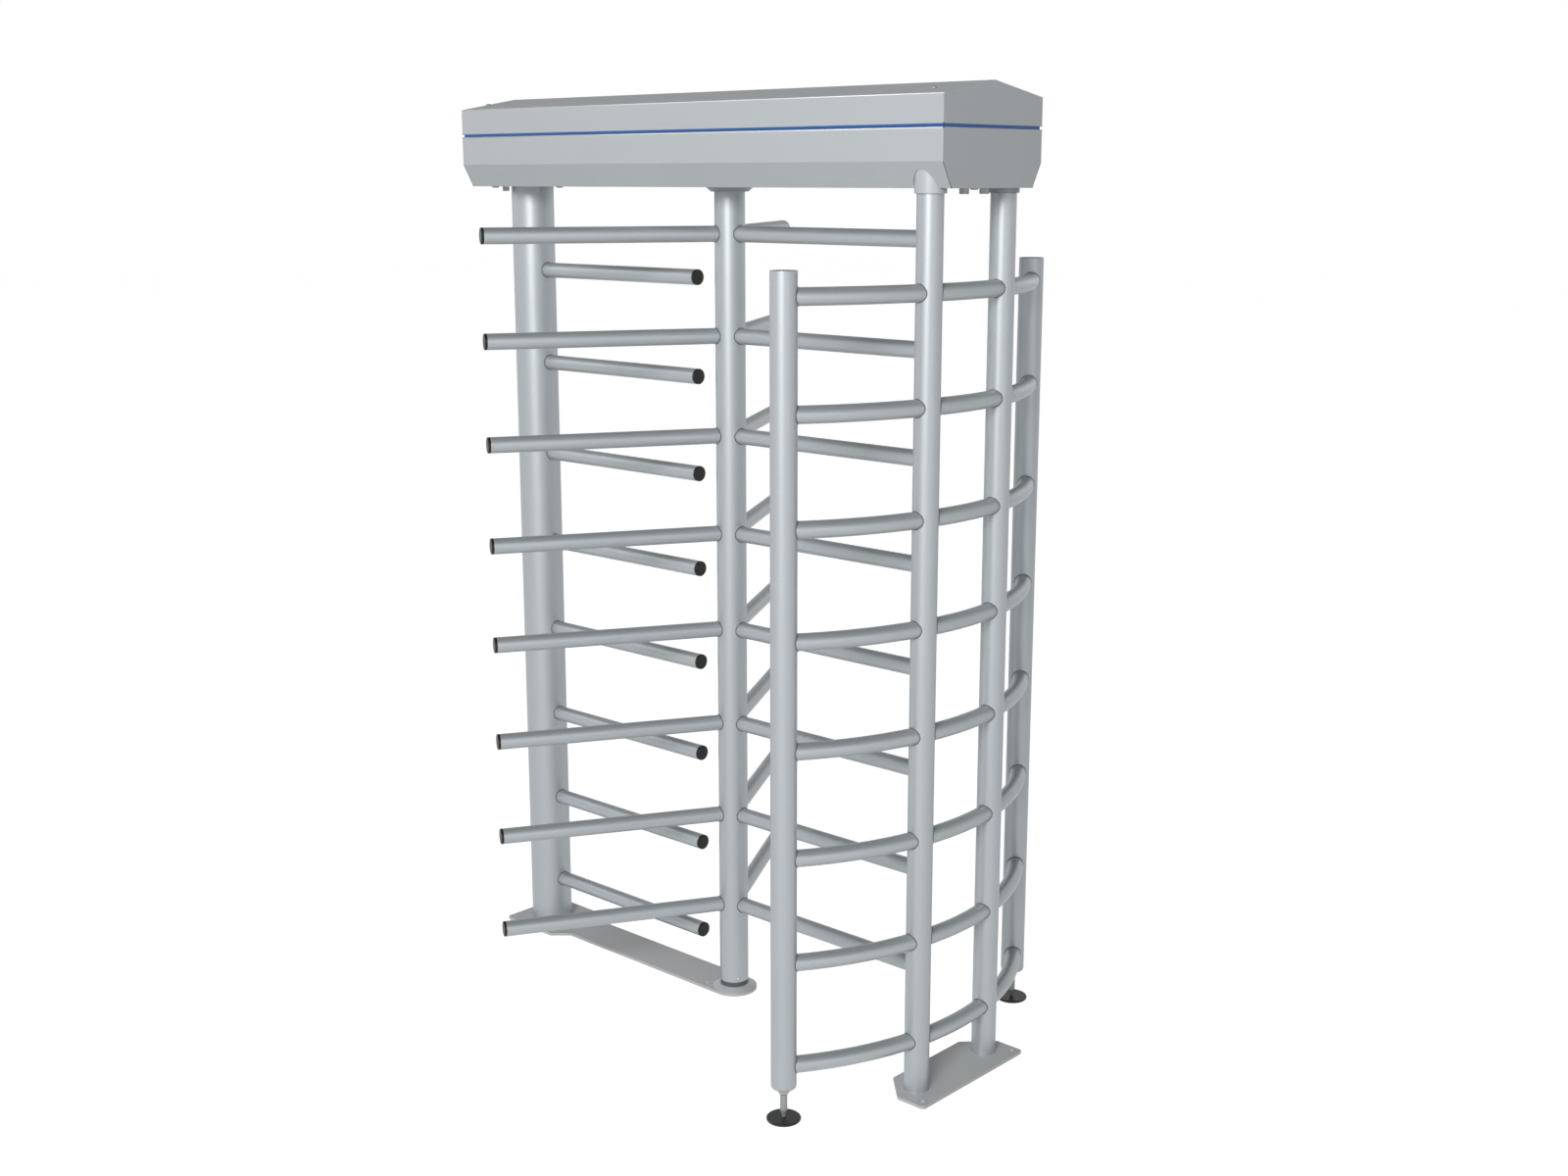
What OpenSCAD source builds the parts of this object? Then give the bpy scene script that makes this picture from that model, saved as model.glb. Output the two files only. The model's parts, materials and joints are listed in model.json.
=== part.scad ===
// Full-height revolving gate. Millimetres, +Z up. The origin is on the floor,
// on the axis of the rotor. +X runs along the housing towards the cage.

/* [Rotor] */
// Outer diameter of the rotor tube
rotor_d = 76.1; // [70:0.1:82]
// Wall of the rotor tube
rotor_wall = 3; // [2:0.1:5]
// Height of the rotor tube's lower edge above the floor
rotor_bottom = 30; // [28:1:36]
// Distance from the rotor axis to the tip of a wing
wing_reach = 619.5; // [560:0.5:650]
// Height of the lowest wing arm above the floor
wing_level = 246; // [220:1:280]

/* [Arms] */
// Outer diameter of the wing arms, the comb arms and the rungs
arm_d = 40; // [32:0.5:48]
// Wall of the wing arms, the comb arms and the rungs
arm_wall = 2; // [1.5:0.1:3]
// Number of arms one above the other
arm_rows = 8; // [4:1:8]
// Distance from one arm to the next above it
arm_pitch = 251.5; // [210:0.5:254]
// Thickness of an end cap's visible rim
cap_rim = 6.5; // [3:0.5:8]
// Length of an end cap's plug inside the tube
cap_plug = 14; // [8:1:25]

/* [Comb] */
// Distance from the rotor axis to the axis of the comb column
column_x = 746.2; // [700:0.1:790]
// Outer diameter of the comb column
column_d = 114.3; // [90:0.1:130]
// Wall of the comb column
column_wall = 3; // [2:0.1:6]
// Gap between the rotor axis and the tips of the comb arms
comb_tip = 111; // [80:0.5:200]
// Height of the lowest comb arm and of the lowest rung
comb_level = 135.5; // [120:0.5:160]

/* [Cage] */
// Radius of the circle that the cage posts and rungs follow
cage_r = 745.3; // [720:0.1:770]
// Outer diameter of the cage posts
post_d = 60.3; // [50:0.1:68]
// Wall of the cage posts
post_wall = 2; // [1.5:0.1:4]
// Angle of the two tall posts from the housing's centre line
tall_post_angle = 10.42; // [9:0.01:10.8]
// Angle of the two short posts from the housing's centre line
short_post_angle = 37.39; // [30:0.01:42]
// Height of the short posts' top above the floor
short_post_top = 1951.6; // [1930:0.1:2050]
// Height of the short posts' lower edge above the floor
short_post_bottom = 88; // [82:1:98]
// Thickness of the disc that closes a short post
post_cap_t = 4; // [2:0.5:8]

/* [Levelling feet] */
// Diameter of the threaded rod
foot_rod_d = 17; // [12:0.5:22]
// Length of the threaded rod
foot_rod_len = 128.5; // [80:0.5:150]
// Diameter of the rubber pad
pad_d = 81; // [60:0.5:100]
// Height of the rubber pad
pad_h = 6.5; // [5:0.5:12]
// Length of the tapered lower end of the rod
foot_taper = 20; // [12:0.5:26]
// Radius of the rounded lower end of a short post
bush_rim = 8; // [4:0.5:12]
// Height of the cone at the bottom of a short post's bush
bush_cone_h = 5; // [3:0.5:10]

/* [Floor plates] */
// Thickness of both floor plates
plate_t = 8; // [6:0.5:12]
// Width of the cage's plate along the housing
cage_plate_l = 147; // [130:1:170]
// Width of the cage's plate across the housing
cage_plate_w = 401; // [380:1:430]
// Cut-off at the cage plate's two inner corners
cage_plate_cut = 69; // [20:1:72]
// Distance from the column's axis to the outer edge of the comb's plate
comb_plate_edge = 85.8; // [70:0.1:110]
// Length of the wide part of the comb's plate
comb_plate_l = 192; // [170:1:220]
// Width of the wide part of the comb's plate
comb_plate_w = 200; // [170:1:240]
// Width of the strip that joins the comb's plate to the rotor
strip_w = 121; // [110:1:150]
// Length of the sloping shoulder between the wide part and the strip
strip_shoulder = 43; // [10:1:60]
// Corner radius of the plates
plate_corner = 10; // [4:1:16]
// Diameter of the anchor holes
anchor_d = 13; // [9:0.5:16]
// Distance from the edge to the cage plate's anchor holes
cage_anchor_edge = 20; // [14:0.5:26]
// Distance from the outer edge to the comb plate's outer anchor holes
comb_anchor_edge = 17; // [12:0.5:24]
// Distance from the sides to the comb plate's outer anchor holes
comb_anchor_side = 13; // [11:0.5:24]
// Distance from the rotor axis back to the strip's anchor holes
strip_anchor_x = 66; // [60:0.5:120]
// Distance between the strip's two anchor holes
strip_anchor_gap = 84; // [70:0.5:92]

/* [Housing] */
// Height of the housing's underside above the floor
under_z = 2120; // [2080:1:2200]
// How far the housing reaches past the column's and the tall posts' axes
housing_over = 67.6; // [64:0.1:90]
// Depth of the housing
housing_w = 361.4; // [356:0.1:400]
// Sheet thickness
sheet = 2; // [1:0.1:3]
// Height of the lower tray
tray_h = 127.7; // [122:0.1:140]
// Height of the tray's sloping lower edge
slope_h = 56.5; // [48:0.1:60]
// Depth of the tray's sloping lower edge
slope_w = 31.8; // [20:0.1:34]
// Height of the light strip between tray and cover
strip_h = 6.4; // [4:0.1:10]
// How far the light strip lies behind the sheet
strip_recess = 3.7; // [3.2:0.1:6]
// Height of the cover's upright wall
cover_wall_h = 64.1; // [60:0.1:90]
// Rise of the roof from the eaves to the ridge
roof_rise = 31.8; // [10:0.1:60]
// Radius of the folded edges beside the light strip
fold_r = 3; // [1.5:0.1:3]
// Width of the folded flanges beside the light strip
flange_w = 14; // [10:0.5:20]

/* [Sleeves and fittings] */
// Outer diameter of the sleeves on the tall posts
sleeve_d = 71.5; // [68:0.1:84]
// How far the sleeves and the rotor's collar show below the housing
sleeve_drop = 11; // [6:0.5:20]
// Radius of the rotor's collar at the housing
collar_r = 59.5; // [52:0.5:66]
// Radius of the rotor's collar at its lower edge
collar_low_r = 46; // [45:0.5:49]
// Diameter of a blind plug in the housing
plug_d = 20; // [17:0.5:28]
// Diameter of a cable gland
gland_d = 22; // [16:0.5:26]
// Length of a cable gland below the housing
gland_h = 13; // [8:0.5:20]
// How far the cage-side fittings lie outside the tall posts' axes
cage_fitting_out = 17; // [0:1:30]
// Distance between the two cage-side glands
gland_gap = 74; // [60:1:100]
// How far the comb-side corner plugs lie outside the column's axis
comb_plug_out = 40; // [30:1:46]
// Distance between the two comb-side corner plugs
comb_plug_gap = 192; // [180:1:220]
// How far the comb-side glands lie outside the column's axis
comb_gland_out = 35; // [30:1:46]
// Distance between the two comb-side glands
comb_gland_gap = 128; // [126:1:140]
// Diameter of a comb-side gland
comb_gland_d = 18; // [14:0.5:20]
// How far the plug beside the column lies inside the column's axis
column_plug_in = 112; // [90:1:140]
// Diameter of a cover screw's head
screw_head_d = 13; // [9:0.5:18]
// Distance of the cage-side cover screws from the housing's end
screw_inset_cage = 86; // [20:1:120]
// Distance of the comb-side cover screws from the housing's end
screw_inset_comb = 19; // [16:1:120]
// Distance between the front and the rear cover screws
screw_gap = 210; // [120:1:280]

/* [Bearings] */
// Radius of the rotor shaft
shaft_r = 20; // [17:0.5:21]
// Outer radius of the top bearing
bearing_r = 40; // [38:0.5:44]
// Height of the top bearing
bearing_h = 18; // [16:0.5:24]
// Number of balls in the top bearing
ball_count = 9; // [6:1:12]
// Radius of the pin on the floor pivot
pin_r = 12.5; // [10:0.5:14]
// Height of the pivot pin's top above the floor
pin_top = 70; // [60:1:90]
// Radius of the floor pivot's flange at the floor plate
pivot_flange_r = 57; // [50:0.5:60]
// Radius of the floor pivot's flange at its top
pivot_flange_top_r = 41; // [38:0.5:48]
// Thickness of the floor pivot's flange
pivot_flange_h = 9; // [7:0.5:12]
// Running clearance on a radius
run_gap = 0.05; // [0.02:0.01:0.09]

/* [Lock] */
// Radius of the index wheel
wheel_r = 90; // [86:0.5:94]
// Thickness of the index wheel and the pawls
wheel_t = 8; // [6:0.5:10]
// Depth of the index wheel's notches
notch_depth = 13; // [12.5:0.5:18]
// Width of the index wheel's notches
notch_w = 13; // [11:0.5:16]
// Distance from a pawl's pivot to its tooth, along the housing
pawl_len = 80; // [75:0.5:90]
// How far a pawl swings into the wheel, in degrees
pawl_swing = 8; // [6:0.5:8.5]
// Width of a pawl's tooth
tooth_w = 7; // [5:0.5:8]
// Length of a pawl's tail, from the pivot to the plunger
tail_len = 40; // [36:0.5:42]
// Radius of a solenoid's plunger
plunger_r = 6; // [5:0.25:8]

/* [Gear] */
// Module of the teeth
gear_m = 3; // [2.5:0.1:3.2]
// Number of teeth on the rotor's gear
gear_n = 60; // [56:1:64]
// Number of teeth on the damper's pinion
pinion_n = 18; // [16:1:20]
// Width of the teeth along the shaft
gear_t = 12; // [8:0.5:16]
// Play between the teeth, along the pitch circle
gear_play = 0.5; // [0.3:0.05:0.8]

/* [Hidden] */
$fn = 64;

// Colours
satin = [0.72, 0.75, 0.77];
silver = [0.70, 0.73, 0.75];
zinc = [0.62, 0.64, 0.66];
dark = [0.13, 0.13, 0.14];
blue = [0.12, 0.28, 0.60];
bronze = [0.70, 0.50, 0.25];
gland_grey = [0.60, 0.59, 0.55];
seal_grey = [0.24, 0.26, 0.28];

// Clearances: around a welded joint's end, around a loose fit and around a tight one
weld_gap = 0.1;
fit_gap = 0.25;
seat_gap = 0.02;
sleeve_gap = 1.1;

// Radii that follow from the diameters
rotor_r = rotor_d / 2;
rotor_bore_r = rotor_r - rotor_wall;
arm_r = arm_d / 2;
column_r = column_d / 2;
post_r = post_d / 2;
sleeve_r = sleeve_d / 2;
foot_rod_r = foot_rod_d / 2;

// Plan of the cage and of the housing
tall_post_x = cage_r * cos(tall_post_angle);
housing_x0 = -column_x - housing_over;
housing_x1 = tall_post_x + housing_over;
half_w = housing_w / 2;
slope_angle = atan(slope_h / slope_w);
roof_angle = atan(roof_rise / half_w);
cover_z = tray_h + strip_h;
comb_plate_x0 = -column_x - comb_plate_edge;

// Heights inside the housing, above its underside
mount_plate_t = 8;
mount_plate_top = sheet + mount_plate_t;
bearing_flange_t = 8;
bearing_flange_r = 80;
bearing_room = 5;
rotor_above_plate = 14;
rotor_top = mount_plate_top + rotor_above_plate;
collar_t = 6;
shaft_shoulder_z = rotor_top + collar_t;
shoulder_h = 12;
bearing_z = shaft_shoulder_z + shoulder_h;
bearing_top = bearing_z + bearing_h;
bearing_lid_gap = 2;
lock_plate_z = bearing_top + bearing_lid_gap;
lock_plate_t = 6;
lock_plate_top = lock_plate_z + lock_plate_t;
wheel_lift = 4;
wheel_z = lock_plate_top + wheel_lift;
gear_lift = 6;
gear_z = wheel_z + wheel_t + gear_lift;
nut_z = gear_z + gear_t;
nut_h = 12;
shaft_past_nut = 4;
shaft_top = nut_z + nut_h + shaft_past_nut;
hub_r = 30;
hub_room = 4;

// Pawls: the pivot lies beside the wheel. Halfway through its swing a tooth points at the axis.
notch_step = 30;
tooth_gap = 1.5;
tooth_len = 13.5;
pawl_half = 7;
tooth_tip = tooth_len + pawl_half;
pawl_y = wheel_r + tooth_gap + tooth_tip;
tooth_x = (pawl_len + tooth_tip * sin(pawl_swing / 2)) / cos(pawl_swing / 2);
pawl_pin_r = 5;
pawl_boss_r = 10;
tail_tip_r = 4;
tail_half = 2.5;
side_gap = 0.3;

// Solenoids: a fork on each plunger takes the end of a pawl's tail
plunger_y = pawl_y + tail_len;
plunger_z = wheel_z + wheel_t;
fork_half_l = 9;
fork_slot_half = tail_tip_r + 0.5;
fork_in = 6;
fork_out = 10;
fork_wall = 4.5;
fork_below = 1.5;
fork_above = 7.5;
coil_w = 36;
coil_l = 60;
coil_gap = 26;
plunger_hold = 40;
plunger_room = 8;

// Damper: its pinion runs in the rotor's gear
gear_centre = gear_m * (gear_n + pinion_n) / 2;
damper_r = gear_centre - bearing_flange_r - bearing_room;
damper_h = 38;
damper_shaft_r = 5;
damper_neck_r = 12;
damper_floor = 14;
lock_plate_rim = 20;
lock_plate_past_gear = 45;
lock_plate_x0 = -pawl_len - coil_gap - coil_l - lock_plate_rim;
lock_plate_x1 = gear_centre + lock_plate_past_gear;
lock_plate_wall_gap = 7;
lock_plate_half = half_w - sheet - lock_plate_wall_gap;
standoff_r = 8;
standoff_y = 105;
standoff_inset = 16;

// Control box and power supply, between the lock and the cage posts
box_gap = 70;
control_size = [220, 160, 80];
control_wall = 3;
supply_gap = 30;
supply_size = [160, 100, 45];

// Floor pivot
pivot_top = plate_t + pivot_flange_h;
bush_r = pin_r + 5;
bush_cap = 6;
foot_plug_top = 110;
grub_r = 4;
grub_angle = -30;
grub_reach = 8;
grub_sunk = 0.6;
grub_z = rotor_bottom + 10;

arm_levels = [for (i = [0 : arm_rows - 1]) i * arm_pitch];

// Points along an arc about (cx, cy), from angle a0 to a1
function arc(cx, cy, r, a0, a1, n = 5) =
    [for (i = [0 : n]) let (a = a0 + (a1 - a0) * i / n) [cx + r * cos(a), cy + r * sin(a)]];

// A closed outline, symmetric about the vertical axis, from its right half
function both_sides(right) =
    concat(right, [for (i = [len(right) - 1 : -1 : 0]) [-right[i][0], right[i][1]]]);

// A straight tube from z = 0
module tube(r, wall, h) {
    difference() {
        cylinder(r = r, h = h);
        translate([0, 0, -1]) cylinder(r = r - wall, h = h + 2);
    }
}

// A ring from z = 0
module ring(r_out, r_in, h) {
    difference() {
        cylinder(r = r_out, h = h);
        translate([0, 0, -1]) cylinder(r = r_in, h = h + 2);
    }
}

// An outline in the YZ plane, drawn out along X from x0 to x1
module along_x(points, x0, x1) {
    translate([x0, 0, 0]) rotate([90, 0, 90]) linear_extrude(x1 - x0) polygon(points);
}

// An outline in the XZ plane, drawn out along Y
module along_y(points, w) {
    rotate([90, 0, 0]) linear_extrude(w, center = true) polygon(points);
}

// A horizontal arm along +X whose near end is shaped to an upright tube at x = 0
module coped_arm(upright_r, reach) {
    difference() {
        rotate([0, 90, 0]) tube(arm_r, arm_wall, reach - cap_rim);
        translate([0, 0, -arm_r - 1]) cylinder(r = upright_r + weld_gap, h = arm_d + 2);
    }
}

// An end cap whose face lies at x = reach
module arm_cap(reach) {
    plug_r = arm_r - arm_wall - fit_gap;
    edge_r = cap_rim * 0.3;
    outline = concat(
        [[0, -cap_plug], [plug_r, -cap_plug], [plug_r, 0], [arm_r, 0]],
        arc(arm_r - edge_r, cap_rim - edge_r, edge_r, 0, 90, 4),
        [[0, cap_rim]]
    );
    translate([reach - cap_rim, 0, 0]) rotate([0, 90, 0]) rotate_extrude() polygon(outline);
}

// A cage post or rung position, at an angle on the cage's circle
module at_post(angle) {
    translate([cage_r * cos(angle), cage_r * sin(angle), 0]) children();
}

module column() {
    color(satin) translate([-column_x, 0, plate_t])
        tube(column_r, column_wall, under_z + sheet - plate_t);
}

module comb_plate_outline() {
    x0 = comb_plate_x0;
    x1 = x0 + comb_plate_l;
    half = comb_plate_w / 2;
    inset = plate_corner;
    circle(r = strip_w / 2);
    translate([x1, -strip_w / 2]) square([-x1, strip_w]);
    polygon([[x1, -half], [x1 + strip_shoulder, -strip_w / 2], [x1 + strip_shoulder, strip_w / 2],
             [x1, half]]);
    translate([x0 + inset, -half]) square([comb_plate_l - inset, comb_plate_w]);
    translate([x0, -half + inset]) square([2 * inset, comb_plate_w - 2 * inset]);
    for (s = [-1, 1]) translate([x0 + inset, s * (half - inset)]) circle(r = inset);
}

module column_foot_plate() {
    color(satin) difference() {
        linear_extrude(plate_t) comb_plate_outline();
        for (s = [-1, 1]) {
            translate([-strip_anchor_x, s * strip_anchor_gap / 2, -1])
                cylinder(d = anchor_d, h = plate_t + 2);
            translate([comb_plate_x0 + comb_anchor_edge,
                       s * (comb_plate_w / 2 - comb_anchor_side), -1])
                cylinder(d = anchor_d, h = plate_t + 2);
        }
    }
}

module comb_arms() {
    color(satin) for (z = arm_levels) translate([-column_x, 0, comb_level + z])
        coped_arm(column_r, column_x - comb_tip);
}

module comb_arm_caps() {
    color(dark) for (z = arm_levels) translate([-column_x, 0, comb_level + z])
        arm_cap(column_x - comb_tip);
}

// A tall post stands on the floor plate and ends in its sleeve in the housing
module tall_post(angle) {
    color(satin) at_post(angle) translate([0, 0, plate_t])
        tube(post_r, post_wall, under_z + sleeve_seat - plate_t);
}

module short_post(angle) {
    color(satin) at_post(angle) translate([0, 0, short_post_bottom])
        tube(post_r, post_wall, short_post_top - post_cap_t - short_post_bottom);
}

sleeve_seat = 56;
sleeve_cap = 4;
sleeve_bottom = -sleeve_drop;

module front_tall_post() { tall_post(-tall_post_angle); }
module rear_tall_post() { tall_post(tall_post_angle); }
module front_short_post() { short_post(-short_post_angle); }
module rear_short_post() { short_post(short_post_angle); }

module short_post_caps() {
    edge_r = min(2, post_cap_t / 2);
    outline = concat(
        [[0, -cap_plug], [post_r - post_wall - fit_gap, -cap_plug],
         [post_r - post_wall - fit_gap, 0], [post_r, 0]],
        arc(post_r - edge_r, post_cap_t - edge_r, edge_r, 0, 90, 4),
        [[0, post_cap_t]]
    );
    color(satin) for (s = [-1, 1]) at_post(s * short_post_angle)
        translate([0, 0, short_post_top - post_cap_t]) rotate_extrude() polygon(outline);
}

// The bush in a short post's lower end guides the threaded rod
bush_plug = 40;
bush_neck_h = 11.5;
bush_neck_wall = 4.5;
bush_cone_wall = 1;

module foot_bushes() {
    bore = foot_rod_r + run_gap;
    plug_r = post_r - post_wall - fit_gap;
    neck_z = -bush_rim - bush_neck_h;
    outline = concat(
        [[bore, bush_plug], [plug_r, bush_plug], [plug_r, 0], [post_r, 0]],
        arc(post_r - bush_rim, 0, bush_rim, 0, -90, 6),
        [[foot_rod_r + bush_neck_wall, -bush_rim], [foot_rod_r + bush_neck_wall, neck_z],
         [foot_rod_r + bush_cone_wall, neck_z - bush_cone_h], [bore, neck_z - bush_cone_h]]
    );
    color(satin) for (s = [-1, 1]) at_post(s * short_post_angle)
        translate([0, 0, short_post_bottom]) rotate_extrude() polygon(outline);
}

module cage_plate_outline() {
    x0 = tall_post_x - cage_plate_l / 2;
    x1 = tall_post_x + cage_plate_l / 2;
    half = cage_plate_w / 2;
    inset = plate_corner;
    polygon([[x0, half - cage_plate_cut], [x0, -half + cage_plate_cut], [x0 + cage_plate_cut, -half],
             [x1 - inset, -half], [x1 - inset, half], [x0 + cage_plate_cut, half]]);
    translate([x1 - 2 * inset, -half + inset]) square([2 * inset, cage_plate_w - 2 * inset]);
    for (s = [-1, 1]) translate([x1 - inset, s * (half - inset)]) circle(r = inset);
}

module cage_foot_plate() {
    color(satin) difference() {
        linear_extrude(plate_t) cage_plate_outline();
        for (s = [-1, 1])
            translate([tall_post_x + cage_plate_l / 2 - cage_anchor_edge,
                       s * (cage_plate_w / 2 - cage_anchor_edge), -1])
                cylinder(d = anchor_d, h = plate_t + 2);
    }
}

// Curved rungs between two posts, at every level
module rungs(a0, a1) {
    color(satin) for (z = arm_levels) translate([0, 0, comb_level + z]) difference() {
        rotate([0, 0, a0]) rotate_extrude(angle = a1 - a0, $fn = 360) translate([cage_r, 0])
            difference() {
                circle(r = arm_r, $fn = 64);
                circle(r = arm_r - arm_wall, $fn = 64);
            }
        for (a = [a0, a1]) at_post(a) translate([0, 0, -arm_r - 1])
            cylinder(r = post_r + weld_gap, h = arm_d + 2);
    }
}

module front_rungs() { rungs(-short_post_angle, -tall_post_angle); }
module middle_rungs() { rungs(-tall_post_angle, tall_post_angle); }
module rear_rungs() { rungs(tall_post_angle, short_post_angle); }

// A sleeve joins a tall post to the housing
module post_sleeves() {
    color(silver) for (s = [-1, 1]) at_post(s * tall_post_angle)
        translate([0, 0, under_z + sleeve_bottom]) difference() {
            cylinder(r = sleeve_r, h = sleeve_seat + sleeve_cap - sleeve_bottom);
            translate([0, 0, -1])
                cylinder(r = post_r + weld_gap, h = sleeve_seat - sleeve_bottom + 1);
        }
}

// The tray's section across the housing, moved in by t from its outer face
function tray_section(t) =
    let (r = max(fold_r - t, 0.5), y = half_w - t, top = tray_h - t)
    both_sides(concat(
        [[half_w - slope_w - t * tan(slope_angle / 2), t],
         [y, slope_h + t * tan((90 - slope_angle) / 2)]],
        arc(y - r, top - r, r, 0, 90)
    ));

// The tray's side view, moved in by t
function tray_side(t) =
    let (r = max(fold_r - t, 0.5), top = tray_h - t)
    concat(
        [[housing_x0 + t, t], [housing_x1 - t, t]],
        arc(housing_x1 - t - r, top - r, r, 0, 90),
        arc(housing_x0 + t + r, top - r, r, 90, 180)
    );

// The cover's section across the housing, moved in by t
function cover_section(t) =
    let (r = max(fold_r - t, 0.5), y = half_w - t,
         eave = cover_wall_h + t * tan(roof_angle) - t / cos(roof_angle))
    both_sides(concat(
        arc(y - r, t + r, r, -90, 0),
        [[y, eave], [0.01, cover_wall_h + roof_rise - t / cos(roof_angle)]]
    ));

// The cover's side view, moved in by t
function cover_side(t) =
    let (r = max(fold_r - t, 0.5), top = cover_wall_h + roof_rise + 1)
    concat(
        arc(housing_x1 - t - r, t + r, r, -90, 0),
        [[housing_x1 - t, top], [housing_x0 + t, top]],
        arc(housing_x0 + t + r, t + r, r, 180, 270)
    );

module solid_from(section, side) {
    intersection() {
        along_x(section, housing_x0 - 1, housing_x1 + 1);
        along_y(side, housing_w + 2);
    }
}

// The opening inside the folded flanges
module flange_opening(z0, z1) {
    translate([housing_x0 + flange_w, -half_w + flange_w, z0])
        cube([housing_x1 - housing_x0 - 2 * flange_w, housing_w - 2 * flange_w, z1 - z0]);
}

rotor_hole_r = rotor_r + 6;

module housing_tray() {
    color(silver) translate([0, 0, under_z]) difference() {
        solid_from(tray_section(0), tray_side(0));
        solid_from(tray_section(sheet), tray_side(sheet));
        flange_opening(tray_h - 2 * sheet, tray_h + 1);
        translate([0, 0, -1]) cylinder(r = rotor_hole_r, h = sheet + 2);
        translate([-column_x, 0, -1]) cylinder(r = column_r + fit_gap, h = sheet + 2);
        for (s = [-1, 1]) at_post(s * tall_post_angle) translate([0, 0, -1])
            cylinder(r = sleeve_r + sleeve_gap, h = sleeve_seat);
        for (p = concat(plug_places, gland_places)) translate([p[0], p[1], -1])
            cylinder(r = fitting_shank_r, h = sheet + 2);
    }
}

module housing_cover() {
    color(silver) translate([0, 0, under_z + cover_z]) difference() {
        solid_from(cover_section(0), cover_side(0));
        solid_from(cover_section(sheet), cover_side(sheet));
        flange_opening(-1, 2 * sheet);
        at_cover_screws() translate([0, 0, -10]) cylinder(r = screw_shank_r + fit_gap, h = 20);
    }
}

module light_strip() {
    x0 = housing_x0 + strip_recess;
    x1 = housing_x1 - strip_recess;
    y = half_w - strip_recess;
    ring_w = flange_w - strip_recess;
    color(blue) translate([0, 0, under_z + tray_h]) difference() {
        translate([x0, -y, 0]) cube([x1 - x0, 2 * y, strip_h]);
        translate([x0 + ring_w, -y + ring_w, -1])
            cube([x1 - x0 - 2 * ring_w, 2 * (y - ring_w), strip_h + 2]);
    }
}

screw_shank_r = 3;
screw_head_h = 4;

// Places the cover screws on the roof, upright to its slope
module at_cover_screws() {
    for (s = [-1, 1], x = [housing_x0 + screw_inset_comb, housing_x1 - screw_inset_cage])
        translate([x, s * screw_gap / 2,
                   cover_wall_h + roof_rise * (1 - screw_gap / 2 / half_w)])
            rotate([-s * roof_angle, 0, 0]) children();
}

module cover_screws() {
    edge_r = 2;
    shank = 8;
    color(zinc) translate([0, 0, under_z + cover_z]) at_cover_screws() {
        rotate_extrude() polygon(concat(
            [[0, 0], [screw_head_d / 2, 0]],
            arc(screw_head_d / 2 - edge_r, screw_head_h - edge_r, edge_r, 0, 90, 4),
            [[0, screw_head_h]]
        ));
        translate([0, 0, -shank]) cylinder(r = screw_shank_r, h = shank + 0.01);
    }
}

// Fittings under the housing, as [x, y] and, for glands, a diameter
fitting_shank_r = 6;
plug_places = [
    [tall_post_x + cage_fitting_out, 0],
    [-column_x - comb_plug_out, -comb_plug_gap / 2],
    [-column_x - comb_plug_out, comb_plug_gap / 2],
    [-column_x + column_plug_in, 0]
];
gland_places = [
    [tall_post_x + cage_fitting_out, -gland_gap / 2, gland_d],
    [tall_post_x + cage_fitting_out, gland_gap / 2, gland_d],
    [-column_x - comb_gland_out, -comb_gland_gap / 2, comb_gland_d],
    [-column_x - comb_gland_out, comb_gland_gap / 2, comb_gland_d]
];

// The part of a fitting that sits in its hole in the sheet
module fitting_shank() {
    translate([0, 0, -0.01]) cylinder(r = fitting_shank_r - fit_gap, h = sheet);
}

// A low plug with a full round edge
module blind_plugs() {
    plug_h = 4;
    edge_r = plug_h;
    color(zinc) for (p = plug_places) translate([p[0], p[1], under_z]) {
        rotate_extrude() polygon(concat(
            [[0, 0], [0, -plug_h]],
            arc(plug_d / 2 - edge_r, edge_r - plug_h, edge_r, -90, 0, 4),
            [[plug_d / 2, 0]]
        ));
        fitting_shank();
    }
}

// A gland: a round body with a rounded lower edge, closed by a blind insert
module cable_glands() {
    edge_r = 2;
    color(gland_grey) for (p = gland_places) translate([p[0], p[1], under_z]) {
        rotate_extrude() polygon(concat(
            [[0, 0], [0, -gland_h]],
            arc(p[2] / 2 - edge_r, edge_r - gland_h, edge_r, -90, 0, 4),
            [[p[2] / 2, 0]]
        ));
        fitting_shank();
    }
}

// The fixed collar hides the hole where the rotor enters the housing
module rotor_collar() {
    skin = 3;
    bore = rotor_r + 1.5;
    color(silver) translate([0, 0, under_z]) rotate_extrude() polygon([
        [bore, -sleeve_drop], [collar_low_r, -sleeve_drop], [collar_r, 0], [collar_r - 4, 0],
        [collar_low_r - 2, skin - sleeve_drop], [bore, skin - sleeve_drop]
    ]);
}

// The plate in the tray that ties column, cage posts and top bearing together
module mounting_plate() {
    past_axes = 48;
    side_room = 8;
    rotor_room = 4;
    x0 = -column_x - past_axes;
    x1 = tall_post_x + past_axes;
    half = half_w - slope_w - side_room;
    color(zinc) translate([0, 0, under_z + sheet]) difference() {
        translate([x0, -half, 0]) cube([x1 - x0, 2 * half, mount_plate_t]);
        translate([0, 0, -1]) cylinder(r = rotor_r + rotor_room, h = mount_plate_t + 2);
        for (s = [-1, 1]) at_post(s * tall_post_angle) translate([0, 0, -1])
            cylinder(r = sleeve_r + fit_gap, h = mount_plate_t + 2);
        at_bearing_screws() translate([0, 0, -20]) cylinder(r = bearing_screw_r + fit_gap, h = 30);
    }
}

bearing_screw_r = 4;
bearing_screw_inset = 11;

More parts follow.
